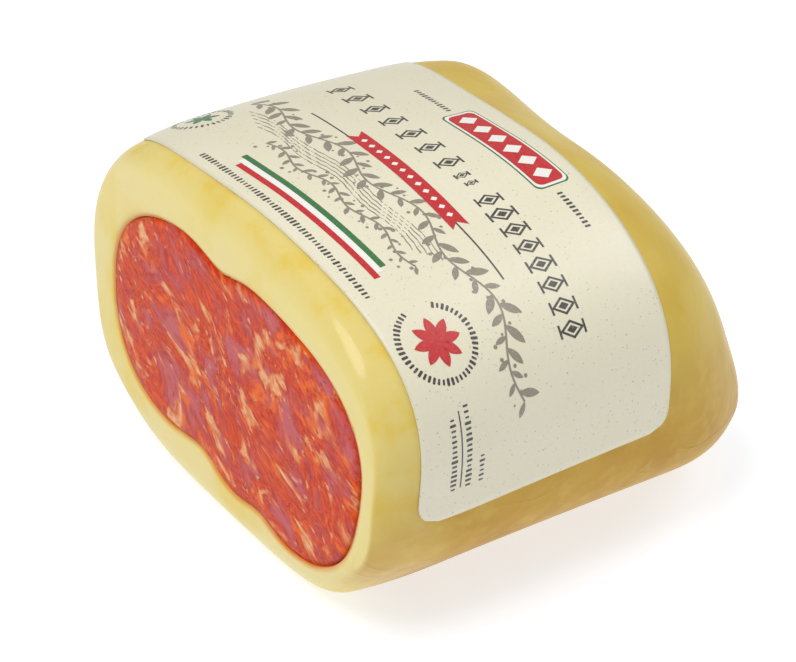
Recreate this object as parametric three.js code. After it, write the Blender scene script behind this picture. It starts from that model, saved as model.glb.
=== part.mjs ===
import * as THREE from 'three'

// Spicy provola: a block cut from a flattened loaf of pale stretched-curd cheese round a
// flattened salami, with a paper label wrapped over its top and right side.
// Millimetres, +Z up. The cut face looks along -Y and +Y runs along the loaf to the far end.
// The block rests on its flat underside at Z = 0, and the origin is under the middle of its box.

// ---- Driving dimensions: the cheese ----
const LENGTH = 92                // along the loaf at its widest level
const HALF_WIDTH = 50.6
const CROWN = 38.7               // from the widest level up to the top
const BELLY = 30.2               // from the widest level down to the underside
const WIDEST_LEVEL = 31.4        // above the floor
const SETTLED = 0.92             // how much of the underside the floor has flattened
// squareness of the four corners: 2 is round, 4 is nearly a right angle
const CORNER = { upperRight: 2.44, upperLeft: 2.65, lowerLeft: 3.64, lowerRight: 3.9 }
// low swellings round the section, as shares of its radius: first at the cut face, then at the far end
const SWELLINGS = [
  { waves: 2, sine: [0.007, -0.015], cosine: [0, 0] },
  { waves: 3, sine: [0.05, 0.04], cosine: [0.018, 0.043] },
  { waves: 4, sine: [0.018, -0.011], cosine: [0.016, -0.003] },
]
const TAPER = { width: -0.002, height: -0.001 }   // share gained from the cut face to the far end
const MIDDLE_SWELL = -0.009                       // share gained half-way along
// Each end has a round rim, as wide as the cheese beside the salami, and then a long soft
// shoulder. An inset varies round the section by the shares named right, top and sides.
const FACE_END = {
  rim: { length: 5.6, inset: 4.5, right: -0.02, top: -0.13, sides: -0.65 },
  shoulder: { length: 19.3, inset: 2.5, right: 0, top: 0, sides: 0 },
}
const FAR_END = {
  rim: { length: 7.3, inset: 5.4, right: 0, top: 0, sides: 0 },
  shoulder: { length: 21.9, inset: 8.5, right: 0.7, top: 0.14, sides: 0 },
}
const RIM_ROUNDNESS = 2.2        // 2 is a quarter of an ellipse, more is fuller
// a hollow pressed into the top of the far end
const HOLLOW = { angle: 113.3, spread: 27.4, length: 34.3, depth: 6 }
// lean of each end: how far it moves along the loaf for each millimetre to the right and up
const FACE_LEAN = { right: -0.048, up: 0.009 }
const FAR_LEAN = { right: -0.139, up: -0.407 }

// ---- Driving dimensions: the salami core ----
// its middle at the cut face and at the far end, across and above the floor
const CORE_CENTRE = { face: { x: 2.2, z: 30.6 }, farEnd: { x: -5, z: 26.5 } }
const CORE_HALF_WIDTH = 41.0
const CORE_HALF_HEIGHT = 25.6
const CORE_SQUARENESS = 2.45
const CORE_TURN = -3.6           // degrees, its right end up
const CORE_FAR_SCALE = 0.64      // it tapers towards the far end
// notches of its outline: direction in degrees, depth, and spread in degrees; a swelling is negative
const CORE_NOTCHES = [
  { at: 92, depth: 2.7, spread: 16 },
  { at: 292, depth: -1.1, spread: 7 },
  { at: 249, depth: 5.0, spread: 30 },
  { at: 231, depth: 5.0, spread: 22 },
  { at: 295, depth: 5.0, spread: 30 },
  { at: 296, depth: 2.7, spread: 11 },
  { at: 19, depth: -4.0, spread: 23 },
]
const CORE_GAP = 0.45            // between the salami and the cheese round it
const LEDGE = 0.7                // least width of flat cheese beside the salami
const CORE_RELIEF = 0.25         // unevenness of its cut ends
// how the two ends of the core round off towards their edge: a higher power keeps them flat longer
const CORE_DOME = { face: 6, farEnd: 2.5 }

// ---- Driving dimensions: the label ----
const LABEL = {
  faceEdge: 6.0,                 // its front edge, along the loaf
  faceEdgeSkew: -0.015,          // the front edge's place, for each millimetre to the right
  farEdge: 65.6,                 // its rear edge
  farEdgeSkew: -0.123,           // the same for the rear edge
  lowEnd: -1.1,                  // degrees round the section, on the right side
  highEnd: 140,                  // degrees, over the top to the upper left shoulder
  cornerRadius: 4,
  gap: 0.35,                     // clear of the cheese
  thickness: 0.3,
}

// ---- How finely each surface is divided ----
const COLUMNS = 84
const BODY_ROWS = 12
const RIM_ROWS = 5
const WALL_ROWS = 6              // along the wall between cheese and salami
const CAP_ROWS = 5               // across each cut end of the salami
const LABEL_COLUMNS = 14
const LABEL_ROWS = 40

const { clamp, degToRad, radToDeg, euclideanModulo, lerp } = THREE.MathUtils

const signedPower = (value, power) => Math.sign(value) * Math.abs(value) ** power
const spaced = (count, from, to) => Array.from({ length: count }, (_, i) => lerp(from, to, i / (count - 1)))

// A bell of height 1 at a direction round the section, with its spread, both in degrees.
function bell(angle, at, spread) {
  const turn = euclideanModulo(radToDeg(angle) - at + 180, 360) - 180
  return Math.exp(-((turn / spread) ** 2))
}

// ---- The cheese's outer skin ----

// The loaf's section at an angle from its right side, at a share of the way along it.
function sectionPoint(angle, share) {
  const [c, s] = [Math.cos(angle), Math.sin(angle)]
  const upper = c >= 0 ? CORNER.upperRight : CORNER.upperLeft
  const lower = c >= 0 ? CORNER.lowerRight : CORNER.lowerLeft
  const power = 2 / (s >= 0 ? upper : lower)
  let swell = 1
  for (const { waves, sine, cosine } of SWELLINGS) {
    swell += lerp(...sine, share) * Math.sin(waves * angle)
    swell += lerp(...cosine, share) * Math.cos(waves * angle)
  }
  const x = HALF_WIDTH * signedPower(c, power)
  const z = (s >= 0 ? CROWN : BELLY) * signedPower(s, power)
  return new THREE.Vector2(x, z).multiplyScalar(swell)
}

function sectionNormal(angle, share) {
  const step = 1e-4
  const tangent = sectionPoint(angle + step, share).sub(sectionPoint(angle - step, share))
  return new THREE.Vector2(tangent.y, -tangent.x).normalize()
}

// An inset where the section's angle is this, with its shares to the right, the top and the sides.
const varied = ({ inset, right, top, sides }, angle) =>
  inset * (1 + right * Math.cos(angle) + top * Math.sin(angle) + sides * Math.cos(2 * angle))

// How far the skin is drawn in, at a distance from one of its ends: by the rim and the shoulder.
function rimInset({ rim }, angle, distance) {
  const intoRim = clamp(1 - distance / rim.length, 0, 1)
  return varied(rim, angle) * (1 - (1 - intoRim ** RIM_ROUNDNESS) ** (1 / RIM_ROUNDNESS))
}

const shoulderInset = ({ shoulder }, angle, distance) =>
  varied(shoulder, angle) * clamp(1 - distance / shoulder.length, 0, 1) ** 2

// Both ends lean a little, and one lean turns into the other along the loaf.
function leaned(x, along, z) {
  const lean = ({ right, up }) => right * x + up * (z - WIDEST_LEVEL)
  return new THREE.Vector3(x, along + lerp(lean(FACE_LEAN), lean(FAR_LEAN), along / LENGTH), z)
}

// The skin at an angle round the loaf and a distance along it, raised by a gap.
function skin(angle, along, gap = 0) {
  const share = along / LENGTH
  const fromMiddle = share - 0.5
  const fromFar = LENGTH - along
  const hollow = HOLLOW.depth * bell(angle, HOLLOW.angle, HOLLOW.spread)
    * Math.exp(-((fromFar / HOLLOW.length) ** 2))
  const pressedIn = rimInset(FACE_END, angle, along) + rimInset(FAR_END, angle, fromFar)
    + shoulderInset(FACE_END, angle, along)
  const drawnToMiddle = shoulderInset(FAR_END, angle, fromFar) + hollow
  const point = sectionPoint(angle, share)
  const outward = point.clone().normalize()
  point.addScaledVector(sectionNormal(angle, share), gap - pressedIn).addScaledVector(outward, -drawnToMiddle)
  const swell = 1 + MIDDLE_SWELL * (1 - 4 * fromMiddle ** 2)
  const x = point.x * (swell + TAPER.width * fromMiddle)
  const z = point.y * (swell + TAPER.height * fromMiddle) + WIDEST_LEVEL - SETTLED
  return leaned(x, along, Math.max(z, 0))
}

// Angles that divide the section from one angle to another into equal lengths, ends included.
function evenAngles(count, from, to) {
  const angles = spaced(2001, from, to)
  const lengths = [0]
  for (let i = 1; i < angles.length; i++) {
    const piece = sectionPoint(angles[i], 0.5).distanceTo(sectionPoint(angles[i - 1], 0.5))
    lengths.push(lengths[i - 1] + piece)
  }
  return spaced(count, 0, lengths.at(-1)).map((wanted) => {
    const i = Math.max(lengths.findIndex((length) => length >= wanted), 1)
    return lerp(angles[i - 1], angles[i], (wanted - lengths[i - 1]) / (lengths[i] - lengths[i - 1]))
  })
}

// ---- The salami core ----

// Its outline in a direction from its centre, at a share of the way along the loaf.
function coreRadius(direction, share) {
  const turned = direction - degToRad(CORE_TURN)
  const acrossWidth = Math.abs(Math.cos(turned) / CORE_HALF_WIDTH) ** CORE_SQUARENESS
  const acrossHeight = Math.abs(Math.sin(turned) / CORE_HALF_HEIGHT) ** CORE_SQUARENESS
  let radius = (acrossWidth + acrossHeight) ** (-1 / CORE_SQUARENESS)
  for (const { at, depth, spread } of CORE_NOTCHES) radius -= depth * bell(direction, at, spread)
  return radius * lerp(1, CORE_FAR_SCALE, share)
}

const coreCentre = (endAlong) => (endAlong === 0 ? CORE_CENTRE.face : CORE_CENTRE.farEnd)

// The last point of the skin beside the salami, at one end of the loaf: its direction from the
// core's centre, and how far behind the end's own plane it lies.
function skinEdge(angle, endAlong) {
  const inward = endAlong === 0 ? 1 : -1
  const centre = coreCentre(endAlong)
  const at = (distance) => {
    const along = endAlong + inward * distance
    const point = skin(angle, along)
    const [x, z] = [point.x - centre.x, point.z - centre.z]
    const direction = Math.atan2(z, x)
    const spare = Math.hypot(x, z) - coreRadius(direction, endAlong / LENGTH) - CORE_GAP - LEDGE
    const drop = inward * (point.y - leaned(point.x, endAlong, point.z).y)
    return { along, direction, spare, drop }
  }
  let [near, far] = [0, LENGTH / 4]
  if (at(near).spare >= 0) return at(near)
  for (let pass = 0; pass < 24; pass++) {
    const middle = (near + far) / 2
    if (at(middle).spare < 0) near = middle
    else far = middle
  }
  return at(far)
}

// A point of the core's end at a fraction of its radius; a gap widens it.
function coreEndPoint({ direction, drop }, endAlong, fraction = 1, gap = 0) {
  const radius = (coreRadius(direction, endAlong / LENGTH) + gap) * fraction
  const centre = coreCentre(endAlong)
  const x = centre.x + radius * Math.cos(direction)
  const z = centre.z + radius * Math.sin(direction)
  const point = leaned(x, endAlong, z)
  const power = endAlong === 0 ? CORE_DOME.face : CORE_DOME.farEnd
  const relief = CORE_RELIEF * Math.sin(x / 2.3 + z / 6) * Math.cos(z / 1.9) * (1 - fraction)
  const inward = endAlong === 0 ? 1 : -1
  point.y += inward * (drop * fraction ** power + relief)
  return point
}

// ---- Closed surfaces ----

function meshGeometry(points, faces) {
  const geometry = new THREE.BufferGeometry()
  geometry.setFromPoints(points)
  geometry.setIndex(faces)
  geometry.computeVertexNormals()
  return geometry
}

// A skin through equal rings. Either the last ring joins the first, which makes a ring-shaped
// body, or each end closes on a middle point.
function ringSurface(rings, joinsUp) {
  const count = rings[0].length
  const points = rings.flat()
  const faces = []
  const at = (row, i) => (row % rings.length) * count + (i % count)
  for (let row = 0; row < rings.length - (joinsUp ? 0 : 1); row++) {
    for (let i = 0; i < count; i++) {
      const [a, b, c, d] = [at(row, i), at(row, i + 1), at(row + 1, i + 1), at(row + 1, i)]
      faces.push(a, c, b, a, d, c)
    }
  }
  if (!joinsUp) {
    const middleOf = (ring) => ring.reduce((sum, p) => sum.add(p), new THREE.Vector3()).divideScalar(count)
    points.push(middleOf(rings[0]), middleOf(rings.at(-1)))
    const last = rings.length - 1
    for (let i = 0; i < count; i++) {
      faces.push(at(0, i), at(0, i + 1), points.length - 2)
      faces.push(at(last, i + 1), at(last, i), points.length - 1)
    }
  }
  return meshGeometry(points, faces)
}

// A thin solid between two equal grids of points, the outer one and the inner one.
function sheetSolid(outer, inner) {
  const [rows, columns] = [outer.length, outer[0].length]
  const at = (row, column) => row * columns + column
  const underneath = (point) => point + rows * columns
  const faces = []
  for (let row = 0; row < rows - 1; row++) {
    for (let column = 0; column < columns - 1; column++) {
      const [a, b] = [at(row, column), at(row + 1, column)]
      const [c, d] = [at(row + 1, column + 1), at(row, column + 1)]
      faces.push(a, d, c, a, c, b, ...[a, c, d, a, b, c].map(underneath))
    }
  }
  const edge = []
  for (let column = 0; column < columns - 1; column++) edge.push(at(0, column))
  for (let row = 0; row < rows - 1; row++) edge.push(at(row, columns - 1))
  for (let column = columns - 1; column > 0; column--) edge.push(at(rows - 1, column))
  for (let row = rows - 1; row > 0; row--) edge.push(at(row, 0))
  edge.forEach((a, i) => {
    const b = edge[(i + 1) % edge.length]
    faces.push(a, underneath(a), underneath(b), a, underneath(b), b)
  })
  return meshGeometry([...outer.flat(), ...inner.flat()], faces)
}

// ---- The pieces ----

const columnAngles = evenAngles(COLUMNS + 1, 0, 2 * Math.PI).slice(0, -1)
const faceEdges = columnAngles.map((angle) => skinEdge(angle, 0))
const farEdges = columnAngles.map((angle) => skinEdge(angle, LENGTH))
const coreRing = (edges, endAlong, fraction, gap) =>
  edges.map((edge) => coreEndPoint(edge, endAlong, fraction, gap))
const ringsBetween = (from, to, count) => spaced(count + 1, 0, 1).map((share) =>
  from.map((point, i) => point.clone().lerp(to[i], share)))

// The cheese is a ring: its skin from the cut face to the far end, and the wall round the salami.
function cheeseGeometry() {
  const rimTurns = spaced(RIM_ROWS + 1, 0, Math.PI / 2)
  const bodyShares = spaced(BODY_ROWS + 1, 0, 1).slice(1, -1)
  const columns = columnAngles.map((angle, i) => {
    const [start, end] = [faceEdges[i].along, farEdges[i].along]
    const [bodyStart, bodyEnd] = [FACE_END.rim.length, LENGTH - FAR_END.rim.length]
    return [
      ...rimTurns.map((turn) => lerp(bodyStart, start, Math.cos(turn))),
      ...bodyShares.map((share) => lerp(bodyStart, bodyEnd, share)),
      ...rimTurns.toReversed().map((turn) => lerp(bodyEnd, end, Math.cos(turn))),
    ].map((along) => skin(angle, along))
  })
  const skinRings = columns[0].map((_, row) => columns.map((column) => column[row]))
  const farHole = coreRing(farEdges, LENGTH, 1, CORE_GAP)
  const faceHole = coreRing(faceEdges, 0, 1, CORE_GAP)
  return ringSurface([...skinRings, ...ringsBetween(farHole, faceHole, WALL_ROWS)], true)
}

// The salami runs from the cut face to the far end, and its cut ends are slightly uneven.
function salamiGeometry() {
  const fractions = spaced(CAP_ROWS + 1, 0, 1).slice(1)
  const faceRings = fractions.map((fraction) => coreRing(faceEdges, 0, fraction))
  const farRings = fractions.toReversed().map((fraction) => coreRing(farEdges, LENGTH, fraction))
  const wall = ringsBetween(faceRings.at(-1), farRings[0], WALL_ROWS).slice(1, -1)
  return ringSurface([...faceRings, ...wall, ...farRings], false)
}

// The label lies along the skin as a thin strip with rounded corners.
function labelGeometry() {
  const angles = evenAngles(LABEL_ROWS + 1, degToRad(LABEL.lowEnd), degToRad(LABEL.highEnd))
  const rowLength = skin(angles[0], LENGTH / 2).distanceTo(skin(angles[1], LENGTH / 2))
  const surfacePoint = (angle, wantedY, gap) => {
    let along = wantedY
    for (let pass = 0; pass < 6; pass++) along += wantedY - skin(angle, along).y
    return skin(angle, along, gap)
  }
  const side = (gap) => angles.map((angle, row) => {
    const fromEnd = Math.min(row, LABEL_ROWS - row) * rowLength
    const intoCorner = Math.max(LABEL.cornerRadius - fromEnd, 0)
    const trimmed = LABEL.cornerRadius - Math.sqrt(LABEL.cornerRadius ** 2 - intoCorner ** 2)
    const faceEdge = LABEL.faceEdge + LABEL.faceEdgeSkew * skin(angle, LABEL.faceEdge).x
    const farEdge = LABEL.farEdge + LABEL.farEdgeSkew * skin(angle, LABEL.farEdge).x
    return spaced(LABEL_COLUMNS + 1, faceEdge + trimmed, farEdge - trimmed)
      .map((wantedY) => surfacePoint(angle, wantedY, gap))
  })
  return sheetSolid(side(LABEL.gap + LABEL.thickness), side(LABEL.gap))
}

const piece = (name, geometry, color, roughness) => {
  const mesh = new THREE.Mesh(geometry, new THREE.MeshStandardMaterial({ color, roughness, metalness: 0 }))
  mesh.name = name
  return mesh
}

const provola = new THREE.Group()
provola.add(
  piece('cheese', cheeseGeometry(), '#dcc878', 0.35),
  piece('salami', salamiGeometry(), '#c04a38', 0.4),
  piece('label', labelGeometry(), '#ece6d2', 0.6),
)
const middle = new THREE.Box3().setFromObject(provola).getCenter(new THREE.Vector3())
provola.position.set(-middle.x, -middle.y, 0)

export default provola
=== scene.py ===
# %% [markdown]
# # A cut block of spicy provola
#
# Provola is a stretched-curd cheese. This one is pressed round a flattened chilli salami,
# cut across, packed under tight clear film and given a paper label over its top and right
# side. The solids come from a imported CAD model, which loads as a fixed frame in metres.
# Each cell below dresses one part of it, and the last cell closes the scene.

# %% Load the frame
import math

import bmesh
import bpy
from mathutils import Matrix, Vector
from mathutils.bvhtree import BVHTree
from mathutils.kdtree import KDTree


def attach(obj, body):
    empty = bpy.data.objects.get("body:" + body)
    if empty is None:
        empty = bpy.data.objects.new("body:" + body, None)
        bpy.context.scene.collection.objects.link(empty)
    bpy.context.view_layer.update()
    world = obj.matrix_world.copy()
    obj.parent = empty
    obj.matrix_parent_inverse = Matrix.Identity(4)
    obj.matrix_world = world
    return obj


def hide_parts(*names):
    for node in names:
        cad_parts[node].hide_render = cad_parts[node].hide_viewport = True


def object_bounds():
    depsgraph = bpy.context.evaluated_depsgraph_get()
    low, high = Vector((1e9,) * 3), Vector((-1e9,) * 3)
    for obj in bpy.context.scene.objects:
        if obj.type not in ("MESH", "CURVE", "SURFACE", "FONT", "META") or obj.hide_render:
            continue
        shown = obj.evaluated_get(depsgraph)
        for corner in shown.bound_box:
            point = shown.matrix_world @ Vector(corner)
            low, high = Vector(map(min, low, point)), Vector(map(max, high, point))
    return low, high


MM = 0.001
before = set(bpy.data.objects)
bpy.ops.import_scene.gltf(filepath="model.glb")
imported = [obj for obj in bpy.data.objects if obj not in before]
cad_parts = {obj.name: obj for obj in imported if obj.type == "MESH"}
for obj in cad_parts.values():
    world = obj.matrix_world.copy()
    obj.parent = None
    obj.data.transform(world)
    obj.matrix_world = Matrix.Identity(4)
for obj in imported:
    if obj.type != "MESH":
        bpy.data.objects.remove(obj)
low_corner, high_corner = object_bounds()
print("frame:", sorted(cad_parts), "size in mm:",
      [round((b - a) / MM, 1) for a, b in zip(low_corner, high_corner)])

# %% [markdown]
# ## Camera
#
# The photograph was taken from the front right and from above, with a long lens. Matching
# the block's outline, the label's edges and the salami's outline gave the angles and the
# distance. A camera could be turned by Euler angles, but three direction vectors that form
# a matrix are easier to read: from the target to the camera, its right and its up.

# %% Place the camera
IMAGE_WIDTH = 796               # pixels
FOCAL_PIXELS = 2491.1           # the lens, in pixels of that image
SENSOR_WIDTH = 36               # millimetres
NEAREST_SEEN = 0.01             # metres
AZIMUTH = math.radians(53.765)
ELEVATION = math.radians(30.139)
camera_target = Vector((10.046, -21.048, 36.921)) * MM
camera_distance = 444.2 * MM

away = Vector((math.sin(AZIMUTH) * math.cos(ELEVATION),
               -math.cos(AZIMUTH) * math.cos(ELEVATION),
               math.sin(ELEVATION)))
rightwards = Vector((math.cos(AZIMUTH), math.sin(AZIMUTH), 0))
upwards = away.cross(rightwards)

camera_data = bpy.data.cameras.new("camera")
camera_data.sensor_width = SENSOR_WIDTH
camera_data.lens = FOCAL_PIXELS * SENSOR_WIDTH / IMAGE_WIDTH
camera_data.clip_start = NEAREST_SEEN
camera = bpy.data.objects.new("camera", camera_data)
bpy.context.collection.objects.link(camera)
camera.matrix_world = (Matrix.Translation(camera_target + away * camera_distance)
                       @ Matrix((rightwards, upwards, away)).transposed().to_4x4())
bpy.context.scene.camera = camera
print("lens in mm:", round(camera_data.lens, 1))

# %% [markdown]
# ## Light
#
# A product photograph like this one is lit by large soft boxes in a white room. One wide
# area lamp above and to the left of the camera gives the soft highlights on the film, a
# second weaker one behind the block brightens its top, and a white world does the rest.
# The Standard view shows colours as they are mixed, where the default one would wash out
# the yellow.

# %% Light the scene
BLOCK_MIDDLE = (0, 0, 0.03)     # metres
BOX_WIDTH = 0.5
ROOM_WHITE = (0.97, 0.985, 1, 1)
ROOM_BRIGHTNESS = 0.38


def add_soft_box(name, place, power):
    """A round area lamp at a place in metres that points at the block."""
    lamp = bpy.data.lights.new(name, "AREA")
    lamp.shape = "DISK"
    lamp.size = BOX_WIDTH
    lamp.energy = power
    box = bpy.data.objects.new(name, lamp)
    bpy.context.collection.objects.link(box)
    box.location = place
    aim = Vector(BLOCK_MIDDLE) - Vector(place)
    box.rotation_euler = aim.to_track_quat("-Z", "Y").to_euler()


add_soft_box("key_light", (0.05, -0.4, 0.76), 3.9)
add_soft_box("back_light", (0.1, 0.6, 0.6), 2.0)

world = bpy.data.worlds.new("white_room")
world.use_nodes = True
background = world.node_tree.nodes["Background"]
background.inputs["Color"].default_value = ROOM_WHITE
background.inputs["Strength"].default_value = ROOM_BRIGHTNESS
bpy.context.scene.world = world
bpy.context.scene.view_settings.view_transform = "Standard"
print("lamps:", [f"{lamp.name} {round(lamp.energy, 1)} W" for lamp in bpy.data.lights])

# %% [markdown]
# ## Shader maths as Python
#
# A pattern is a formula, so it reads best as one. `Wire` wraps a shader socket and gives
# it Python's operators, each of which adds one Math node. `Finish` is a material under
# construction, and its `node` method adds any other node. Geometry trees use both too.

# %% Wrap sockets and materials
class Wire:
    """An output socket of a node that takes part in Python arithmetic."""

    def __init__(self, graph, socket):
        self.graph = graph
        self.socket = socket

    def maths(self, operation, *others, swap=False):
        """One Math node on this wire and the others, with this wire last if swapped."""
        values = [*others, self] if swap else [self, *others]
        return self.graph.node("ShaderNodeMath", {"operation": operation},
                               dict(enumerate(values)))

    def __add__(self, other):
        return self.maths("ADD", other)

    def __sub__(self, other):
        return self.maths("SUBTRACT", other)

    def __rsub__(self, other):
        return self.maths("SUBTRACT", other, swap=True)

    def __mul__(self, other):
        return self.maths("MULTIPLY", other)

    __radd__ = __add__
    __rmul__ = __mul__

    def step(self, start, end):
        """0 before start and 1 after end, with a smooth rise between them."""
        return self.graph.node(
            "ShaderNodeMapRange", {"interpolation_type": "SMOOTHSTEP"},
            {"Value": self, "From Min": start, "From Max": end})


class Graph:
    """A node tree under construction."""

    def __init__(self, tree):
        self.tree = tree

    def node(self, kind, settings=None, inputs=None, output=0):
        """One node: its settings first, then its sockets' values or links."""
        made = self.tree.nodes.new(kind)
        for key, value in (settings or {}).items():
            setattr(made, key, value)
        for key, value in (inputs or {}).items():
            if isinstance(value, Wire):
                self.tree.links.new(value.socket, made.inputs[key])
            else:
                made.inputs[key].default_value = value
        return Wire(self, made.outputs[output]) if made.outputs else None


class Finish(Graph):
    """A material under construction."""

    def __init__(self, name):
        self.material = bpy.data.materials.new(name)
        self.material.use_nodes = True
        super().__init__(self.material.node_tree)
        self.tree.nodes.clear()

    def place(self, grain=(1, 1, 1), turn=0):
        """Object coordinates in millimetres. A pattern is drawn out along each axis by
        its grain, after a turn about the loaf's own axis."""
        position = self.node("ShaderNodeTexCoord", output="Object")
        return self.node("ShaderNodeMapping", {"vector_type": "TEXTURE"}, {
            "Vector": position, "Rotation": (0, math.radians(turn), 0),
            "Scale": tuple(g * MM for g in grain)})

    def apart(self, where):
        """The three numbers of a place: across, along the loaf and above the floor."""
        apart = self.node("ShaderNodeSeparateXYZ", {}, {"Vector": where}).socket.node
        return [Wire(self, output) for output in apart.outputs]

    def attribute(self, name):
        """A number that every vertex of the mesh carries."""
        return self.node("ShaderNodeAttribute", {"attribute_name": name}, output="Fac")

    def noise(self, where, size, detail=2, roughness=0.5, output=0):
        """Cloudy noise whose blobs are about size millimetres wide, from 0 to 1."""
        return self.node("ShaderNodeTexNoise", {}, {
            "Vector": where, "Scale": 1 / size, "Detail": detail,
            "Roughness": roughness}, output)

    def cells(self, where, size):
        """Distance from the nearest of scattered points about size millimetres apart."""
        return self.node("ShaderNodeTexVoronoi", {},
                         {"Vector": where, "Scale": 1 / size}, "Distance")

    def blend(self, factor, first, second):
        """One colour turning into another as the factor goes from 0 to 1."""
        paint = [c if isinstance(c, Wire) else colour(*c) for c in (first, second)]
        return self.node("ShaderNodeMix", {"data_type": "RGBA"},
                         {0: factor, 6: paint[0], 7: paint[1]}, 2)

    def warp(self, where, size, reach):
        """The same place, pushed about by noise over some millimetres."""
        cloud = self.noise(where, size, output="Color")
        push = self.node("ShaderNodeVectorMath", {"operation": "SUBTRACT"},
                         {0: cloud, 1: (0.5, 0.5, 0.5)})
        return self.node("ShaderNodeVectorMath", {"operation": "MULTIPLY_ADD"},
                         {0: push, 1: (reach, reach, reach), 2: where})

    def bump(self, height, depth):
        """A normal that follows a height from 0 to 1, which stands for depth millimetres."""
        return self.node("ShaderNodeBump", {}, {
            "Strength": 1.0, "Distance": depth * MM, "Height": height})

    def close(self, **sockets):
        """Ends the material on a Principled shader and returns the finished material."""
        inputs = {key.replace("_", " "): value for key, value in sockets.items()}
        if isinstance(inputs.get("Base Color"), tuple):
            inputs["Base Color"] = colour(*inputs["Base Color"])
        surface = self.node("ShaderNodeBsdfPrincipled", {}, inputs)
        self.node("ShaderNodeOutputMaterial", {}, {"Surface": surface})
        return self.material


def colour(red, green, blue):
    """A screen colour from 0 to 255 turned into the linear colour that a shader wants.
    The numbers are those of the sRGB curve."""
    def linear(value):
        value /= 255
        return value / 12.92 if value <= 0.04045 else ((value + 0.055) / 1.055) ** 2.4
    return (linear(red), linear(green), linear(blue), 1)


print("a pale yellow in linear light:", [round(c, 3) for c in colour(232, 214, 138)])

# %% [markdown]
# ## Smooth copies of the solids
#
# The frame's solids are faceted. A copy whose doubles are merged becomes a proper skin of
# four-sided faces, and a Subdivision Surface turns it smooth. The block could be modelled
# anew instead, but then it would drift away from the solids that the simulator knows.
# Sharp edges, such as the brim of the hole round the salami, get a crease so that they stay
# where they are.

# %% Make a smooth copy of a node
SAME_PLACE = 0.01 * MM
FLATTEST_JOIN = math.radians(40)    # two triangles that turn less than this make one face
SQUAREST_JOIN = math.radians(60)
SHARP_TURN = math.radians(48)
CREASE = 0.75
SMOOTHING = 2                       # levels of subdivision


def merged_copy(node_name):
    """The node's surface as one bmesh of four-sided faces, in metres."""
    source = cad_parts[node_name]
    skin = bmesh.new()
    skin.from_mesh(source.data)
    skin.transform(source.matrix_world)
    bmesh.ops.remove_doubles(skin, verts=skin.verts, dist=SAME_PLACE)
    bmesh.ops.join_triangles(skin, faces=skin.faces, angle_face_threshold=FLATTEST_JOIN,
                             angle_shape_threshold=SQUAREST_JOIN)
    return skin


def smooth_piece(name, node_name):
    """A subdivided copy of a node, as a new plain mesh object."""
    skin = merged_copy(node_name)
    creases = skin.edges.layers.float.new("crease_edge")
    sharp = 0
    for edge in skin.edges:
        if edge.is_manifold and edge.calc_face_angle(0) > SHARP_TURN:
            edge[creases] = CREASE
            sharp += 1
    mesh = bpy.data.meshes.new(name)
    skin.to_mesh(mesh)
    skin.free()
    rough = bpy.data.objects.new(name + "_rough", mesh)
    bpy.context.collection.objects.link(rough)
    modifier = rough.modifiers.new("smooth", "SUBSURF")
    modifier.levels = modifier.render_levels = SMOOTHING
    bpy.context.view_layer.update()
    evaluated = rough.evaluated_get(bpy.context.evaluated_depsgraph_get())
    smooth_mesh = bpy.data.meshes.new_from_object(evaluated)
    smooth_mesh.name = name
    smooth_mesh.shade_smooth()
    bpy.data.objects.remove(rough)
    piece = bpy.data.objects.new(name, smooth_mesh)
    bpy.context.collection.objects.link(piece)
    print(name, "has", len(smooth_mesh.polygons), "faces and", sharp, "creased edges")
    return piece


cheese = smooth_piece("cheese_block", "cheese")
salami = smooth_piece("salami_core", "salami")

# The solids keep a gap round the core for the simulator. Here it closes to a hair.
CORE_AT_FACE = (0.5, 30.6)          # X and Z of its middle at the cut face
CORE_AT_FAR_END = (-6.7, 26.5)
CORE_GROWTH = (1.009, 1.015)        # in X and in Z
for vertex in salami.data.vertices:
    share = (vertex.co.y - low_corner[1]) / (high_corner[1] - low_corner[1])
    for axis, face, far, growth in zip((0, 2), CORE_AT_FACE, CORE_AT_FAR_END, CORE_GROWTH):
        middle = (face + (far - face) * share) * MM
        vertex.co[axis] = middle + (vertex.co[axis] - middle) * growth

# %% [markdown]
# ## How far from the salami, and which way the skin faces
#
# Chilli oil bleeds a little from the salami into the cheese, and the cut faces are paler
# than the sides, which have dried and yellowed. The first depends on the distance from the
# salami's rim and the second on where the skin faces. No texture node knows the first, and
# painting it by hand would have to be done again after each change of shape. So both are
# measured at every vertex and kept as attributes, with distances in millimetres.

# %% Measure distances into attributes
RIM_TURN = math.radians(60)     # edges that turn more than this are a rim of the hole
RIM_SAMPLES = 8                 # points along each of them


def set_attribute(piece, name, values):
    """Gives every vertex of a piece one number."""
    layer = piece.data.attributes.new(name, "FLOAT", "POINT")
    layer.data.foreach_set("value", values)


def outline_tree(node_name):
    """A search tree of points along the sharp rims of a node."""
    skin = merged_copy(node_name)
    points = []
    for edge in skin.edges:
        if edge.is_manifold and edge.calc_face_angle(0) > RIM_TURN:
            a, b = edge.verts[0].co, edge.verts[1].co
            points += [a.lerp(b, i / RIM_SAMPLES) for i in range(RIM_SAMPLES)]
    skin.free()
    tree = KDTree(len(points))
    for i, point in enumerate(points):
        tree.insert(point, i)
    tree.balance()
    print(node_name, "rim has", len(points), "points")
    return tree


salami_rim = outline_tree("salami")
for piece in (cheese, salami):
    vertices = piece.data.vertices
    set_attribute(piece, "rim_mm", [salami_rim.find(v.co)[2] / MM for v in vertices])
    set_attribute(piece, "end_facing", [abs(v.normal.y) for v in vertices])

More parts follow.
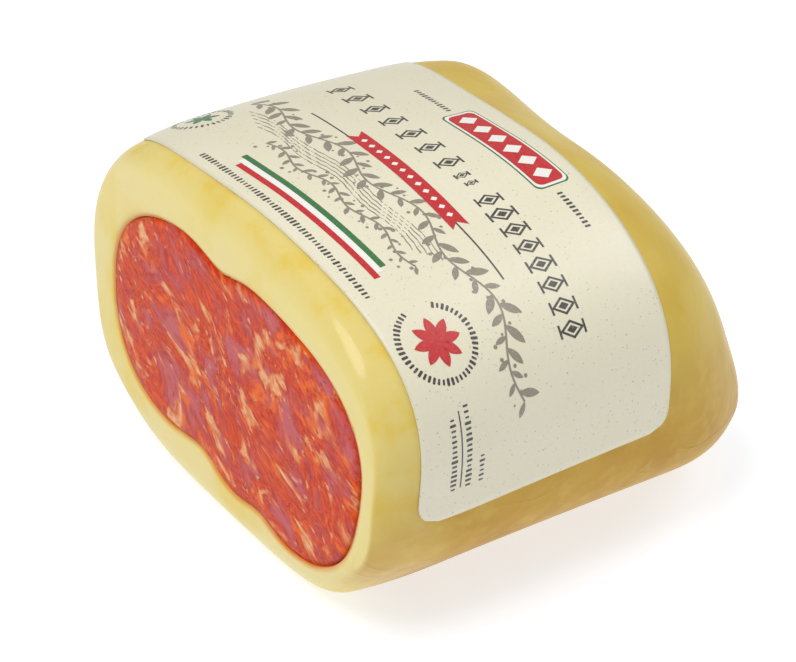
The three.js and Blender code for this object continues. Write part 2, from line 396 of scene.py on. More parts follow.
# %% [markdown]
# ## Cheese
#
# The cut face is a pale milky yellow with stronger yellow patches, and so is a band round
# the block beside it. The sides are an ochre yellow and cloudier, and painted shade makes
# them darker towards the bottom and at the lower right. The clear film is pressed so tight
# that it can't be told apart from the cheese, so it is a coat on this material: a second,
# glossier layer, strongest on the front band.
# Low dents and a few fine folds at the bottom right make it uneven. A picture wrapped round
# the block would show a seam, where noise that reads the place in space has none.

# %% Mix the cheese
MILKY, CURD_YELLOW = (232, 214, 138), (230, 204, 98)
BAND_PALE, BAND_YELLOW = (231, 210, 126), (231, 201, 92)
# The low colours are darker copies of the high ones: painted shade for the lower sides.
SHADED_LOW_OCHRE, SHADED_LOW_BROWN = (200, 157, 54), (188, 140, 40)
HIGH_OCHRE, HIGH_DEEP = (216, 189, 88), (208, 174, 70)
PALE_STREAK = (216, 184, 92)
CHILLI_OIL = (226, 126, 28)
DENT_DEPTH = 0.5                # millimetres


def cheese_material():
    finish = Finish("provola")
    here = finish.place()
    across, along, height = finish.apart(here)
    facing = finish.attribute("end_facing")
    rim = finish.attribute("rim_mm")
    clouds = finish.noise(here, 16, 3)
    patches = finish.noise(here, 7, 3, 0.6)
    streaks = finish.noise(finish.place((4, 1, 1)), 5, 3, 0.6)

    cut = finish.blend(clouds.step(0.45, 0.75), MILKY, CURD_YELLOW)
    band = finish.blend(patches.step(0.42, 0.68), BAND_PALE, BAND_YELLOW)
    # Painted shade: the lower sides take these darker ochres.
    low_side_shaded = finish.blend(clouds.step(0.3, 0.7), SHADED_LOW_OCHRE, SHADED_LOW_BROWN)
    high_side = finish.blend(clouds.step(0.3, 0.7), HIGH_OCHRE, HIGH_DEEP)
    side = finish.blend((height + clouds * 8).step(22, 52), low_side_shaded, high_side)
    side = finish.blend(streaks.step(0.45, 0.75) * 0.4, side, PALE_STREAK)

    # Painted shade: at the lower right the pale band gives way to the shaded low side.
    low_right_shade = (1 - height.step(16, 54)) * across.step(30, 46)
    front = 1 - (along + clouds * 10).step(-44, -30)
    body = finish.blend(front * (1 - low_right_shade * 0.8), side, band)
    body = finish.blend(facing.step(0.6, 0.95), body, cut)
    bleed = 1 - rim.step(0.1, 1.7)
    body = finish.blend(bleed * (0.5 + patches * 0.7), body, CHILLI_OIL)

    fold = (finish.noise(finish.place((1, 3, 1)), 9, 1) - 0.5).maths("ABSOLUTE")
    folds = (1 - fold.step(0, 0.03)) * (1 - height.step(14, 28)) * across.step(30, 44)
    dents = finish.noise(here, 9) * 0.8 + finish.noise(here, 1.6) * 0.2 + folds * 0.35
    return finish.close(Base_Color=body, Roughness=0.4 + clouds * 0.12,
                        Normal=finish.bump(dents, DENT_DEPTH),
                        Specular_IOR_Level=0.16, Subsurface_Weight=0.12,
                        Subsurface_Radius=(1.0, 0.7, 0.25), Subsurface_Scale=2.5 * MM,
                        Coat_Weight=0.1 + front * 0.25, Coat_Roughness=0.12)


cheese.data.materials.clear()
cheese.data.materials.append(cheese_material())
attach(cheese, "root")
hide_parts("cheese")
print("cheese material:", len(cheese.active_material.node_tree.nodes), "nodes")

# %% [markdown]
# ## Salami
#
# A coarse chilli salami shows three things on its cut: mauve-pink lean, red-orange paste
# and pale fat, all drawn out a little by the pressing. Layers of scattered cells and
# noise, each pushed about by a finer noise, give their ragged edges. Patches of orange oil
# and tiny holes, dark red with painted shade, lie over them, and the casing is a thin
# orange-red line at the rim.
# The pattern fills the whole core, as the real mix does, so both cut ends show it.

# %% Mix the salami
PASTE_DARK, PASTE_RED = (182, 28, 9), (232, 88, 16)
LEAN_DARK, LEAN_PINK, LEAN_MAUVE = (176, 40, 32), (206, 86, 76), (200, 102, 108)
OIL_ORANGE, OIL_STAINED_FAT = (238, 106, 14), (230, 118, 44)
FAT_PEACH, FAT_CREAM = (234, 158, 98), (242, 200, 156)
# The holes' dark red is painted shade inside them.
HOLE_SHADE = (122, 14, 8)
CASING_RED = (204, 54, 8)
PRESSED_GRAIN = (1.8, 3, 1)     # drawn out across, more along the loaf, not upwards
GRAIN_SLANT = 34                # degrees
CUT_RELIEF = 0.3                # millimetres


def salami_material():
    finish = Finish("chilli_salami")
    drawn = finish.warp(finish.place(PRESSED_GRAIN, GRAIN_SLANT), 14, 12)
    ragged = finish.warp(drawn, 2.4, 1.8)
    fine = finish.warp(drawn, 0.8, 0.8)
    rim = finish.attribute("rim_mm")

    grain = finish.noise(ragged, 0.9, 5, 0.7)
    paste = finish.blend(grain.step(0.3, 0.72), PASTE_DARK, PASTE_RED)
    lean = finish.blend(grain.step(0.3, 0.7), LEAN_DARK, LEAN_PINK)
    lean_cloud = finish.noise(ragged, 5, 3, 0.6)
    meat = finish.blend(lean_cloud.step(0.45, 0.57), paste, lean)
    meat = finish.blend(lean_cloud.step(0.54, 0.66) * 0.7, meat, LEAN_MAUVE)
    oily = finish.noise(fine, 3.4, 3, 0.6).step(0.55, 0.66)
    meat = finish.blend(oily * 0.85, meat, OIL_ORANGE)

    fat_cloud = finish.noise(ragged, 3.6, 2, 0.4) + (grain - 0.5) * 0.14
    body = finish.blend(fat_cloud.step(0.53, 0.66) * 0.75, meat, OIL_STAINED_FAT)
    bits = (1 - finish.cells(fine, 2.1).step(0.1, 0.3)) * grain.step(0.46, 0.56)
    fat_mask = fat_cloud.step(0.58, 0.71).maths("MAXIMUM", bits * 0.85)
    fat = finish.blend(grain.step(0.35, 0.7), FAT_PEACH, FAT_CREAM)
    body = finish.blend(fat_mask * 0.82, body, fat)

    # Painted shade: tiny holes are darkened, and the bump sinks them a little.
    holes = 1 - finish.cells(fine, 1.4).step(0.08, 0.2)
    hole_shade_mask = holes * finish.noise(drawn, 4).step(0.5, 0.6) * 0.8
    body = finish.blend(hole_shade_mask, body, HOLE_SHADE)
    casing = (1 - rim.step(0.1, 0.9)) * (0.3 + grain)
    body = finish.blend(casing, body, CASING_RED)
    height = grain * 0.5 + fat_mask * 0.3 - hole_shade_mask * 0.9
    return finish.close(Base_Color=body, Roughness=0.34 + grain * 0.2,
                        Normal=finish.bump(height, CUT_RELIEF),
                        Specular_IOR_Level=0.1, Subsurface_Weight=0.05,
                        Subsurface_Radius=(1.0, 0.3, 0.2), Subsurface_Scale=0.8 * MM,
                        Coat_Weight=0.08, Coat_Roughness=0.1)


salami.data.materials.clear()
salami.data.materials.append(salami_material())
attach(salami, "root")
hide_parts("salami")
print("salami material:", len(salami.active_material.node_tree.nodes), "nodes")

# %% [markdown]
# ## Label paper
#
# The label is one sheet that starts half-way up the right side and runs over the top to
# the upper left shoulder. Paper can't stretch, so its own coordinates are real lengths:
# u runs round the block from the low end and v along the loaf, both in millimetres.
# Rays shot at the smooth cheese find the block's outline in slices, and equal steps along
# each outline give the sheet its place. A Shrinkwrap modifier would be quicker, but it pulls
# the sheet about and its print with it.

# %% Find where the paper lies
LOW_EDGE = 26.4                 # height of the label's low end
LABEL_LENGTH = 118.0            # round the block
FRONT_EDGE = -46.1              # its place along the loaf
BEND_START, BEND = 89, 0.0041   # beyond this u the front edge draws back in a parabola
REAR_EDGE = 13.8                # the rear edge's place along the loaf at X = 0
REAR_SKEW = -0.123              # and its change for each millimetre of X
V_START = -45.2                 # place along the loaf where v is 0
CORNER_RADIUS = 4.0
PAPER_LIFT = 0.12               # above the cheese
PAPER_THICKNESS = 0.14
UV_REACH = 200                  # millimetres of paper across the UV square
SLICES = 40
PAST_FRONT, PAST_REAR = 1, 8    # how far the slices reach past the two edges
SHEET_ROWS, SHEET_COLUMNS = 120, 60
AXIS = (0.0, 31.0)              # X and Z of the line that the rays aim at
FAR_OFF = 150.0                 # where the rays start
RAYS_A_DEGREE = 2
FIRST_RAY, LAST_RAY = -30, 400  # from below the right side, round past the left

cheese_tree = BVHTree.FromPolygons([v.co / MM for v in cheese.data.vertices],
                                   [tuple(p.vertices) for p in cheese.data.polygons])


def skin_hit(turn, along):
    """Where a ray from outside meets the block, and the normal there, in millimetres."""
    outwards = Vector((math.cos(turn), 0, math.sin(turn)))
    start = Vector((AXIS[0], along, AXIS[1])) + outwards * FAR_OFF
    return cheese_tree.ray_cast(start, -outwards)[:2]


def slice_outline(along):
    """Points of the block's outline in one slice, by length from the label's low end."""
    line, length = [], 0.0
    for ray in range(FIRST_RAY, LAST_RAY):
        point, normal = skin_hit(math.radians(ray / RAYS_A_DEGREE), along)
        if line:
            length += (point - line[-1][1]).length
        if line or point.z >= LOW_EDGE:
            line.append((length, point, normal))
    return line


def along_outline(line, wanted):
    """The point and normal at a length along an outline."""
    for (l0, p0, n0), (l1, p1, n1) in zip(line, line[1:]):
        if l1 >= wanted:
            share = (wanted - l0) / max(l1 - l0, 1e-9)
            return p0.lerp(p1, share), n0.lerp(n1, share).normalized()
    return line[-1][1], line[-1][2]


def edge_places(u):
    """Where the front and rear edge lie along the loaf at u, rounded corners included."""
    from_end = min(u, LABEL_LENGTH - u)
    into = max(CORNER_RADIUS - from_end, 0)
    trim = CORNER_RADIUS - math.sqrt(max(CORNER_RADIUS ** 2 - into ** 2, 0))
    middle, _ = along_outline(middle_outline, u)
    drawn_back = BEND * max(u - BEND_START, 0) ** 2
    return (FRONT_EDGE + drawn_back + trim, REAR_EDGE + REAR_SKEW * middle.x - trim)


middle_outline = slice_outline((V_START + REAR_EDGE) / 2)
slice_gap = (REAR_EDGE + PAST_REAR - FRONT_EDGE + PAST_FRONT) / (SLICES - 1)
slice_places = [FRONT_EDGE - PAST_FRONT + i * slice_gap for i in range(SLICES)]
outlines = [slice_outline(place) for place in slice_places]
print("outline lengths in mm:", round(outlines[0][-1][0]), round(outlines[-1][-1][0]))

# %% [markdown]
# The sheet itself is a grid of u and v points on those outlines, lifted off the cheese by
# a hair, with a UV map of u and v. A Solidify modifier gives it its thickness later.

# %% Cut the label from paper
def paper_point(u, along):
    """The point of the paper's underside and its normal, at u and a place along the loaf."""
    step = (along - slice_places[0]) / slice_gap
    i = min(max(int(step), 0), SLICES - 2)
    share = step - i
    p0, n0 = along_outline(outlines[i], u)
    p1, n1 = along_outline(outlines[i + 1], u)
    return p0.lerp(p1, share), n0.lerp(n1, share).normalized()


def paper_sheet(name):
    """The sheet as a grid of faces whose UV map holds u and v."""
    mesh = bmesh.new()
    uv_layer = mesh.loops.layers.uv.new("paper")
    flat, grid = {}, []
    for row in range(SHEET_ROWS + 1):
        u = LABEL_LENGTH * row / SHEET_ROWS
        front, rear = edge_places(u)
        line = []
        for column in range(SHEET_COLUMNS + 1):
            along = front + (rear - front) * column / SHEET_COLUMNS
            point, normal = paper_point(u, along)
            vertex = mesh.verts.new((point + normal * PAPER_LIFT) * MM)
            flat[vertex] = (u, along - V_START)
            line.append(vertex)
        grid.append(line)
    for row in range(SHEET_ROWS):
        for column in range(SHEET_COLUMNS):
            corners = (grid[row][column], grid[row][column + 1],
                       grid[row + 1][column + 1], grid[row + 1][column])
            face = mesh.faces.new(corners)
            for loop in face.loops:
                loop[uv_layer].uv = Vector(flat[loop.vert]) / UV_REACH
    mesh.normal_update()
    data = bpy.data.meshes.new(name)
    mesh.to_mesh(data)
    mesh.free()
    data.shade_smooth()
    sheet = bpy.data.objects.new(name, data)
    bpy.context.collection.objects.link(sheet)
    return sheet


def outward_share(piece):
    """Share of the faces that point away from the block's middle line."""
    faces = piece.data.polygons
    middle_x, _, middle_z = BLOCK_MIDDLE
    good = sum(f.normal.dot(f.center - Vector((middle_x, f.center.y, middle_z))) > 0
               for f in faces)
    return good / len(faces)


label = paper_sheet("paper_label")
if outward_share(label) < 0.5:
    label.data.flip_normals()
print("label:", len(label.data.polygons), "faces, outward share", outward_share(label))

# %% [markdown]
# The stock is a cream recycled-look paper with fine grey flecks. Under the film it has
# a soft sheen, and towards both ends painted shade makes it a little greyer. The flecks are
# small scattered cells, kept only where a noise allows them, and they read the paper's own
# UV map, so that they follow the sheet round the block.

# %% Mix the paper
PAPER_LIGHT, PAPER_CREAM = (241, 234, 209), (233, 226, 198)
# The grey of the paper's ends is painted shade.
FIBRE_TONE, SHADED_PAPER, FLECK_GREY = (222, 213, 184), (206, 198, 172), (136, 130, 112)
FIBRE_DEPTH = 0.03              # millimetres


def paper_material():
    finish = Finish("speckled_paper")
    flat = finish.node("ShaderNodeVectorMath", {"operation": "SCALE"}, {
        0: finish.node("ShaderNodeUVMap", {"uv_map": "paper"}), "Scale": UV_REACH})
    along_u = finish.apart(flat)[0]
    fibres = finish.noise(flat, 0.8, 4, 0.7)
    clouds = finish.noise(flat, 14)
    body = finish.blend(clouds, PAPER_LIGHT, PAPER_CREAM)
    body = finish.blend(fibres.step(0.4, 0.8) * 0.35, body, FIBRE_TONE)
    # Painted shade: the paper greys towards its low end on the right side and towards the top
    # left.
    low_end_shade = 1 - along_u.step(5, 70)
    body = finish.blend(low_end_shade * 0.2, body, SHADED_PAPER)
    body = finish.blend(along_u.step(52, 100) * 0.28, body, SHADED_PAPER)
    scattered = finish.warp(flat, 0.6, 0.6)
    specks = 1 - finish.cells(scattered, 1.0).step(0.07, 0.17)
    fleck = specks * (clouds + low_end_shade * 0.12).step(0.4, 0.58)
    body = finish.blend(fleck * 0.6, body, FLECK_GREY)
    return finish.close(Base_Color=body, Roughness=0.5 + fibres * 0.1,
                        Normal=finish.bump(fibres, FIBRE_DEPTH),
                        Coat_Weight=0.25, Coat_Roughness=0.25)


label.data.materials.append(paper_material())
print("paper material:", len(label.active_material.node_tree.nodes), "nodes")

# %% [markdown]
# ## Laying print on the paper
#
# Every printed shape is drawn flat first, with u and v as its own coordinates in
# millimetres. One Geometry Nodes tree then lays it on the paper: it splits the faces so
# that they can bend, looks up the paper's point and normal at each u and v, and moves
# the shape there. A second tree repeats one motif along a path before that.

# %% Build the two geometry trees
def new_geometry_tree(name, sockets):
    """An empty tree with named inputs, and a graph and a table of its input wires."""
    tree = bpy.data.node_groups.new(name, "GeometryNodeTree")
    tree.interface.new_socket("Geometry", in_out="INPUT", socket_type="NodeSocketGeometry")
    for socket_name, kind in sockets.items():
        tree.interface.new_socket(socket_name, in_out="INPUT", socket_type=kind)
    tree.interface.new_socket("Geometry", in_out="OUTPUT", socket_type="NodeSocketGeometry")
    graph = Graph(tree)
    source = tree.nodes.new("NodeGroupInput")
    wires = {socket.name: Wire(graph, socket) for socket in source.outputs if socket.name}
    return tree, graph, wires


def lay_on_paper_tree():
    """Splits a flat shape, moves it onto the paper, lifts it a little and inks it."""
    tree, graph, given = new_geometry_tree("lay_on_paper", {
        "Paper": "NodeSocketObject", "Splits": "NodeSocketInt",
        "Lift": "NodeSocketFloat", "Ink": "NodeSocketMaterial"})
    split = graph.node("GeometryNodeSubdivideMesh", {},
                       {"Mesh": given["Geometry"], "Level": given["Splits"]})
    paper = graph.node("GeometryNodeObjectInfo", {}, {"Object": given["Paper"]}, "Geometry")
    paper_uv = graph.node("GeometryNodeInputNamedAttribute", {"data_type": "FLOAT_VECTOR"},
                          {"Name": "paper"})
    here = graph.node("GeometryNodeInputPosition")
    wanted_uv = graph.node("ShaderNodeVectorMath", {"operation": "SCALE"},
                           {0: here, "Scale": 1 / UV_REACH})

    def on_paper(value):
        return graph.node("GeometryNodeSampleUVSurface", {"data_type": "FLOAT_VECTOR"}, {
            "Mesh": paper, "Value": value, "Source UV Map": paper_uv,
            "Sample UV": wanted_uv})

    point = on_paper(here)
    normal = on_paper(graph.node("GeometryNodeInputNormal"))
    raised = graph.node("ShaderNodeVectorMath", {"operation": "SCALE"},
                        {0: normal, "Scale": given["Lift"]})
    target = graph.node("ShaderNodeVectorMath", {"operation": "ADD"}, {0: point, 1: raised})
    laid = graph.node("GeometryNodeSetPosition", {}, {"Geometry": split, "Position": target})
    turned = graph.node("GeometryNodeFlipFaces", {}, {"Mesh": laid})
    real = graph.node("GeometryNodeRealizeInstances", {}, {"Geometry": turned})
    inked = graph.node("GeometryNodeSetMaterial", {},
                       {"Geometry": real, "Material": given["Ink"]})
    graph.node("NodeGroupOutput", {}, {"Geometry": inked})
    return tree


def repeat_tree():
    """Copies of a motif along a path, swung to one side and the other in turn."""
    tree, graph, given = new_geometry_tree("repeat_along", {
        "Motif": "NodeSocketObject", "Count": "NodeSocketInt", "Swing": "NodeSocketFloat",
        "Smallest": "NodeSocketFloat", "Seed": "NodeSocketInt"})
    path = graph.node("GeometryNodeMeshToCurve", {}, {"Mesh": given["Geometry"]})
    points = graph.node("GeometryNodeCurveToPoints", {"mode": "COUNT"},
                        {"Curve": path, "Count": given["Count"]}, "Points")
    tangent = Wire(graph, points.socket.node.outputs["Tangent"])
    aim = graph.node("FunctionNodeAlignRotationToVector", {"axis": "X"}, {"Vector": tangent})
    motif = graph.node("GeometryNodeObjectInfo", {}, {"Object": given["Motif"]}, "Geometry")
    size = graph.node("FunctionNodeRandomValue", {"data_type": "FLOAT"},
                      {2: given["Smallest"], 3: 1.0, "Seed": given["Seed"]}, 1)
    placed = graph.node("GeometryNodeInstanceOnPoints", {}, {
        "Points": points, "Instance": motif, "Rotation": aim, "Scale": size})
    index = graph.node("GeometryNodeInputIndex")
    side = index.maths("MODULO", 2) * 2 - 1
    swing = graph.node("ShaderNodeCombineXYZ", {}, {"Z": side * given["Swing"]})
    swung = graph.node("GeometryNodeRotateInstances", {},
                       {"Instances": placed, "Rotation": swing})
    real = graph.node("GeometryNodeRealizeInstances", {}, {"Geometry": swung})
    graph.node("NodeGroupOutput", {}, {"Geometry": real})
    return tree


LAY = lay_on_paper_tree()
REPEAT = repeat_tree()
print("geometry trees:", LAY.name, "and", REPEAT.name)

# %% [markdown]
# The helpers below draw flat shapes from outlines and hand them to the trees. All outlines
# run anticlockwise in u and v and bulge outwards everywhere, so that a face splits cleanly.

# %% Flat shapes and printing
PAPER_TOP = PAPER_THICKNESS * MM
INK_LIFT = 0.03 * MM


def flat_object(name, outlines_given, edges=()):
    """An unlinked flat object from outlines of (u, v) points, or a path of edges."""
    points, faces = [], []
    for outline in outlines_given:
        faces.append(range(len(points), len(points) + len(outline)))
        points += [(u, v, 0) for u, v in outline]
    data = bpy.data.meshes.new(name)
    data.from_pydata(points, edges, [] if edges else faces)
    return bpy.data.objects.new(name, data)


def path_object(name, points):
    """A flat path of edges for the second tree to repeat a motif on."""
    return flat_object(name, [points], [(i, i + 1) for i in range(len(points) - 1)])


def add_tree(piece, tree, values):
    """A Geometry Nodes modifier whose inputs are set by their identifiers."""
    modifier = piece.modifiers.new(tree.name, "NODES")
    modifier.node_group = tree
    for item in tree.interface.items_tree:
        if item.in_out == "INPUT" and item.name in values:
            modifier[item.identifier] = values[item.name]


def printed(name, shape, ink, layer=1, splits=2, repeat=None):
    """Lays a flat shape on the paper as a plain mesh piece that rides with the block."""
    bpy.context.collection.objects.link(shape)
    if repeat:
        add_tree(shape, REPEAT, repeat)
    add_tree(shape, LAY, {"Paper": label, "Splits": splits,
                          "Lift": PAPER_TOP + INK_LIFT * layer, "Ink": ink})
    bpy.context.view_layer.update()
    evaluated = shape.evaluated_get(bpy.context.evaluated_depsgraph_get())
    mesh = bpy.data.meshes.new_from_object(evaluated)
    mesh.name = name
    bpy.data.objects.remove(shape)
    piece = bpy.data.objects.new(name, mesh)
    bpy.context.collection.objects.link(piece)
    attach(piece, "root")
    print(name, len(mesh.polygons), "faces")


def rounded_box(centre, length, height, radius, tilt=0.0, corner_steps=5):
    """Outline of a box with round corners, its length along u."""
    outline = []
    for quarter in range(4):
        side_u = 1 if quarter in (0, 3) else -1
        side_v = 1 if quarter in (0, 1) else -1
        for step in range(corner_steps + 1):
            turn = math.radians(90 * (quarter + step / corner_steps))
            u = side_u * (length / 2 - radius) + radius * math.cos(turn)
            v = side_v * (height / 2 - radius) + radius * math.sin(turn)
            outline.append((centre[0] + u, centre[1] + v + u * tilt))
    return outline


def strip(points, width):
    """Four-sided faces that follow a path."""
    rails = []
    for i, (u, v) in enumerate(points):
        before, after = points[max(i - 1, 0)], points[min(i + 1, len(points) - 1)]
        du, dv = after[0] - before[0], after[1] - before[1]
        scale = width / 2 / math.hypot(du, dv)
        rails.append(((u + dv * scale, v - du * scale), (u - dv * scale, v + du * scale)))
    return [[a, c, d, b] for (a, b), (c, d) in zip(rails, rails[1:])]


def straight(start, end, parts=12):
    """Points at equal steps on a line."""
    return [(start[0] + (end[0] - start[0]) * i / parts,
             start[1] + (end[1] - start[1]) * i / parts) for i in range(parts + 1)]


def lozenge(width, height):
    return [(width / 2, 0), (0, height / 2), (-width / 2, 0), (0, -height / 2)]


def petal(length, width, steps=10):
    """A pointed leaf from the origin along u."""
    upper = [(length * i / steps, width / 2 * math.sin(math.pi * i / steps) ** 0.8)
             for i in range(steps + 1)]
    lower = [(u, -v) for u, v in reversed(upper[1:-1])]
    return list(reversed(upper)) + list(reversed(lower))


def circle_path(centre, radius, start=0, end=360, parts=48):
    """Points on a circle or an arc, with its ends in degrees."""
    turns = [math.radians(start + (end - start) * i / parts) for i in range(parts + 1)]
    return [(centre[0] + radius * math.cos(t), centre[1] + radius * math.sin(t))
            for t in turns]


# %% [markdown]
# ## Inks
#
# Five plain inks print this label. Offset ink on rough paper is a little uneven, so a fine
# noise lets the paper show through each one, and its sheen is close to the paper's own.
# One function mixes them all, because they differ in colour and wear alone.

# %% Mix the inks
PAPER_SHOWING = (226, 220, 200)


def ink(name, tone, worn):
    """An ink through which the paper shows in fine specks, the more so the more worn."""
    finish = Finish(name)
    speckle = finish.noise(finish.place(), 0.5, 3, 0.7)
    body = finish.blend(speckle.step(0.5, 0.8) * worn, tone, PAPER_SHOWING)
    return finish.close(Base_Color=body, Roughness=0.45, Coat_Weight=0.25,
                        Coat_Roughness=0.25)


RED = ink("red_ink", (200, 34, 38), 0.12)
GREEN = ink("green_ink", (56, 118, 62), 0.15)
WHITE = ink("white_ink", (244, 242, 234), 0.0)
DARK = ink("dark_ink", (70, 68, 64), 0.35)
TAUPE = ink("taupe_ink", (146, 136, 120), 0.4)
print("inks:", [tone.name for tone in (RED, GREEN, WHITE, DARK, TAUPE)])

# %% [markdown]
# ## Plaque, banner and stripe
#
# Near the rear edge sits a plain red plaque in a thin green frame, and nearer the middle a
# red banner with forked ends on a fine rule. A striped ribbon in three plain colours runs
# beside the front edge. Each shape has a layer, and higher layers lie over lower ones.

# %% Print the plaque, the banner and the stripe
PLAQUE_CENTRE, PLAQUE_TILT, PLAQUE_RADIUS = (67.2, 49.3), 0.035, 1.4
for name, tone, length, height, layer in (
        ("plaque_frame", GREEN, 30.0, 7.9, 1), ("plaque_gap", WHITE, 29.4, 7.3, 2),
        ("plaque", RED, 28.2, 6.3, 3)):
    outline = rounded_box(PLAQUE_CENTRE, length, height, PLAQUE_RADIUS, PLAQUE_TILT)
    printed(name, flat_object(name, [outline]), tone, layer, splits=4)

BANNER_START, BANNER_END = (82.5, 28.0), (52.4, 26.4)
BANNER_HALF = 1.75              # half its width
BANNER_FORK = 1.9               # length of the forked ends' tips
BANNER_NICK = 0.4               # where the two tips part
banner = strip(straight(BANNER_START, BANNER_END), BANNER_HALF * 2)
for (u, v), outwards in ((BANNER_START, 1), (BANNER_END, -1)):
    for side in (-1, 1):
        rim = v + side * BANNER_HALF
        fork = [(u, v), (u + outwards * BANNER_NICK, v),
                (u + outwards * BANNER_FORK, rim), (u, rim)]
        banner.append(fork if side * outwards > 0 else fork[::-1])
printed("banner", flat_object("banner", banner), RED, 2)
RULE_WIDTH = 0.35
rule = strip(straight((95.8, 26.7), (37.5, 26.0), 24), RULE_WIDTH)
printed("banner_rule", flat_object("banner_rule", rule), DARK, 1, splits=1)

STRIPE_START, STRIPE_END = (87.5, 5.7), (47.5, 6.9)
STRIPE_WIDTH = 1.2
STRIPE_SLANT = 0.8              # each stripe starts later by this share of the shift
for name, tone, place in (("stripe_red", RED, -1), ("stripe_white", WHITE, 0),
                          ("stripe_green", GREEN, 1)):
    shift = place * STRIPE_WIDTH
    start, end = [(u + shift * STRIPE_SLANT, v + shift) for u, v in (STRIPE_START, STRIPE_END)]
    stripe = strip(straight(start, end, 20), STRIPE_WIDTH)
    printed(name, flat_object(name, stripe), tone, 1, splits=1)

# %% [markdown]
# ## Rows of ornaments
#
# Rows of traditional ornament run along the label: lozenges with serifs in the tall rows,
# white lozenges on the plaque and the banner, and small beads in the fine rows. They could
# be placed one by one. Here each row is one motif that the second tree repeats along a
# path, so a row is changed by its ends and its count alone.

# %% Print the rows
SLENDER = 0.64                  # a lozenge's width for its height
FRAME_HOLE, KERNEL = 0.7, 0.44  # sizes of the frame's hole and of what fills it
SERIF_SHARE, SERIF_HEIGHT = 0.72, 0.5


def bar(left, bottom, width, height):
    return [(left, bottom), (left + width, bottom),
            (left + width, bottom + height), (left, bottom + height)]


def lozenge_motif(height):
    """A framed lozenge between two short serifs, centred on the origin."""
    width = height * SLENDER
    outer, inner = lozenge(width, height), lozenge(width * FRAME_HOLE, height * FRAME_HOLE)
    sides = [[outer[i], outer[(i + 1) % 4], inner[(i + 1) % 4], inner[i]] for i in range(4)]
    serifs = [bar(-width * SERIF_SHARE / 2, (side * height - SERIF_HEIGHT) / 2,
                  width * SERIF_SHARE, SERIF_HEIGHT) for side in (-1, 1)]
    kernel = lozenge(width * KERNEL, height * KERNEL)
    return flat_object("lozenge_motif", [*sides, kernel, *serifs])


def bead_motif(width, height):
    return flat_object("bead_motif", [rounded_box((0, 0), width, height, width * 0.3, 0, 2)])


def print_row(name, motif, points, count, tone, layer=1, smallest=0.75, swing=0.0, splits=0):
    """Prints copies of a motif, whose sizes vary from the smallest to 1."""
    printed(name, path_object(name, points), tone, layer, splits,
            {"Motif": motif, "Count": count, "Swing": swing, "Smallest": smallest,
             "Seed": len(name)})


tall = lozenge_motif(5.6)
print_row("title_row_upper", tall, straight((103.2, 38.6), (66.9, 36.2)), 7, DARK,
          smallest=0.85, splits=1)
print_row("title_row_lower", tall, straight((54.2, 35.3), (25.3, 33.6)), 8, DARK,
          smallest=0.85, splits=1)
print_row("title_middle", lozenge_motif(3.0), straight((62.3, 35.6), (59.6, 35.6)), 2, DARK)
print_row("plaque_row", flat_object("white_lozenge", [lozenge(3.3, 4.4)]),
          straight((78.4, 49.7), (56, 48.9)), 6, WHITE, 4, 1.0, splits=2)
print_row("banner_row", flat_object("small_lozenge", [lozenge(1.3, 1.5)]),
          straight((81, 27.92), (54, 26.5)), 12, WHITE, 3, 0.9)
bead = bead_motif(0.55, 1.35)
print_row("edge_beads", bead, straight((93.7, 1.9), (43.5, 1.8), 20), 56, DARK, smallest=0.6)
print_row("upper_beads", bead, straight((95.3, 50.6), (84.2, 49.6)), 12, DARK, smallest=0.7)
print_row("lower_beads", bead, straight((50, 48.0), (41.4, 47.6)), 10, DARK, smallest=0.7)
LOW_ROWS_END = 5.6              # u of the lower right block of rows
for name, v, start, count in (("low_beads_first", 11.2, 10.5, 6),
                              ("low_beads_second", 8.5, 20.4, 16),
                              ("low_beads_third", 5.5, 18.8, 15)):
    print_row(name, bead, straight((start, v), (LOW_ROWS_END, v)), count, DARK, smallest=0.5)
rule = strip(straight((20, 7), (LOW_ROWS_END, 7)), 0.25)
printed("low_rule", flat_object("low_rule", rule), DARK, 1, splits=1)

# %% [markdown]
# ## Sprigs, rosette and leaf mark
#
# The taupe band across the label is a running vine with a twig beside it: waved stems with
# leaves that swing to either side, berries between them, and rows of fine strokes. Low on
# the right a red rosette sits in a ring of beads, and near the top left corner a small
# green one.

# %% Print the vines and the rosettes
STEM_WIDTH = 0.4
LEAF_SWING = math.radians(52)
BERRY_REACH, BERRY_RHYTHM = 2.6, 1.7    # the berries weave about the stem


def waved(start, end, swell, waves, parts=90):
    """A path that swells to one side and the other of a line."""
    return [(u, v + swell * math.sin(2 * math.pi * waves * i / parts))
            for i, (u, v) in enumerate(straight(start, end, parts))]


leaf = flat_object("leaf", [petal(4.6, 1.7)])
small_leaf = flat_object("small_leaf", [petal(2.6, 1.0)])
berry = flat_object("berry", [circle_path((0, 0), 0.45, parts=8)[:-1]])
for name, motif, start, end, swell, waves, count in (
        ("vine", leaf, (109, 22), (17, 20.5), 1.6, 4, 50),
        ("twig", small_leaf, (90, 12.6), (46, 13.2), 0.9, 3, 30)):
    line = waved(start, end, swell, waves)
    stem = flat_object(name + "_stem", strip(line, STEM_WIDTH))
    printed(name + "_stem", stem, TAUPE, 1, splits=0)
    print_row(name + "_leaves", motif, line, count, TAUPE, smallest=0.55, swing=LEAF_SWING,
              splits=1)
    woven = [(u, v + BERRY_REACH * math.cos(u / BERRY_RHYTHM)) for u, v in line]
    print_row(name + "_berries", berry, woven, count, TAUPE, smallest=0.5)

stroke = flat_object("stroke", [rounded_box((0, 0), 1.9, 0.28, 0.12, 0, 1)])
STROKE_ROWS, ROW_GAP = 5, 0.85
for row in range(STROKE_ROWS):
    line = waved((104 - 2 * row, 18.8 - ROW_GAP * row), (46 + row, 18.6 - ROW_GAP * row),
                 0.5, 2.5)
    print_row(f"strokes_{row}", stroke, line, 42 - row, TAUPE, smallest=0.35, swing=0.1)


PETAL_SHARE = 0.42              # a petal's width for its length


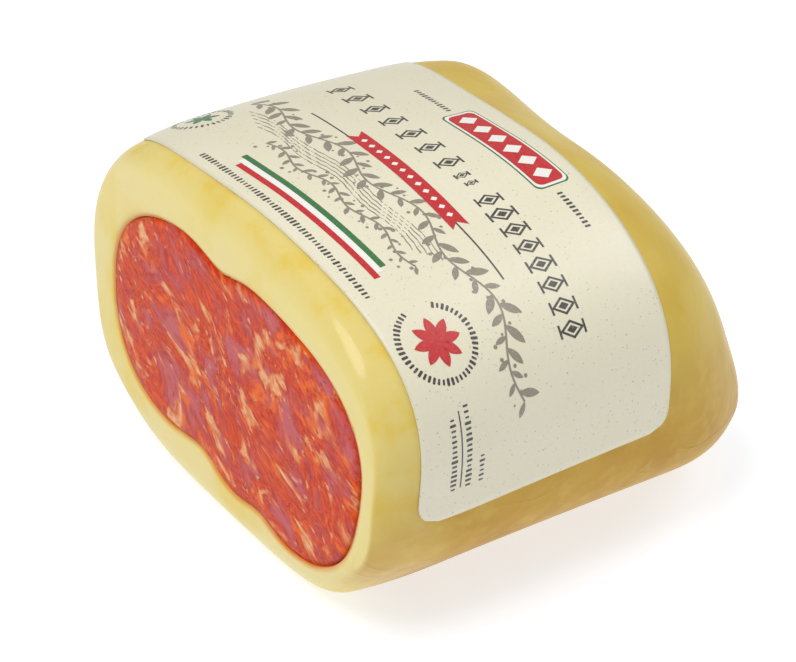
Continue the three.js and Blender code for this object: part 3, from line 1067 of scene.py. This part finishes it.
def rosette(name, centre, reach, tone, petals, layer=1):
    """Petals round a centre."""
    parts = []
    for i in range(petals):
        turn = 2 * math.pi * i / petals
        parts.append([(centre[0] + u * math.cos(turn) - v * math.sin(turn),
                       centre[1] + u * math.sin(turn) + v * math.cos(turn))
                      for u, v in petal(reach, reach * PETAL_SHARE)])
    printed(name, flat_object(name, parts), tone, layer, splits=2)


ROSETTE = (31.7, 8.0)
rosette("rosette_leaves", ROSETTE, 4.2, GREEN, 4)
rosette("rosette", ROSETTE, 4.6, RED, 8, 2)
print_row("rosette_ring", bead, circle_path(ROSETTE, 6.9, 25, 335), 44, DARK, smallest=0.7)
CORNER_MARK = (109.6, 11.5)
rosette("corner_leaves", CORNER_MARK, 3.4, GREEN, 6)
print_row("corner_ring", bead, circle_path(CORNER_MARK, 5.4, 0, 345), 32, DARK, smallest=0.6)

# %% [markdown]
# With the print in place, the paper gets its thickness. It waits until now because the
# print reads the sheet's single surface.

# %% Thicken the paper
thickness = label.modifiers.new("thickness", "SOLIDIFY")
thickness.thickness = PAPER_THICKNESS * MM
thickness.offset = 1
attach(label, "root")
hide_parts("label")
print("paper thickness in mm:", PAPER_THICKNESS)

# %% [markdown]
# ## Floor
#
# The photograph has a plain white ground with a soft grey shadow beside the block. A big
# pale plane that glows a little does the same. It is stage, not part of the object.

# %% Lay the floor
FLOOR_SIZE = 6.0                # metres
FLOOR_GREY = (184, 187, 193)
GLOW_WHITE = (0.95, 0.97, 1.0, 1.0)
FLOOR_GLOW = 0.68               # a light table: it whitens the ground and softens shadows
floor_mesh = bmesh.new()
bmesh.ops.create_grid(floor_mesh, x_segments=1, y_segments=1, size=FLOOR_SIZE / 2)
floor_data = bpy.data.meshes.new("floor")
floor_mesh.to_mesh(floor_data)
floor_mesh.free()
floor = bpy.data.objects.new("floor", floor_data)
bpy.context.collection.objects.link(floor)
floor.data.materials.append(Finish("white_floor").close(
    Base_Color=FLOOR_GREY, Roughness=0.9, Emission_Color=GLOW_WHITE,
    Emission_Strength=FLOOR_GLOW))
print("floor:", FLOOR_SIZE, "m wide")
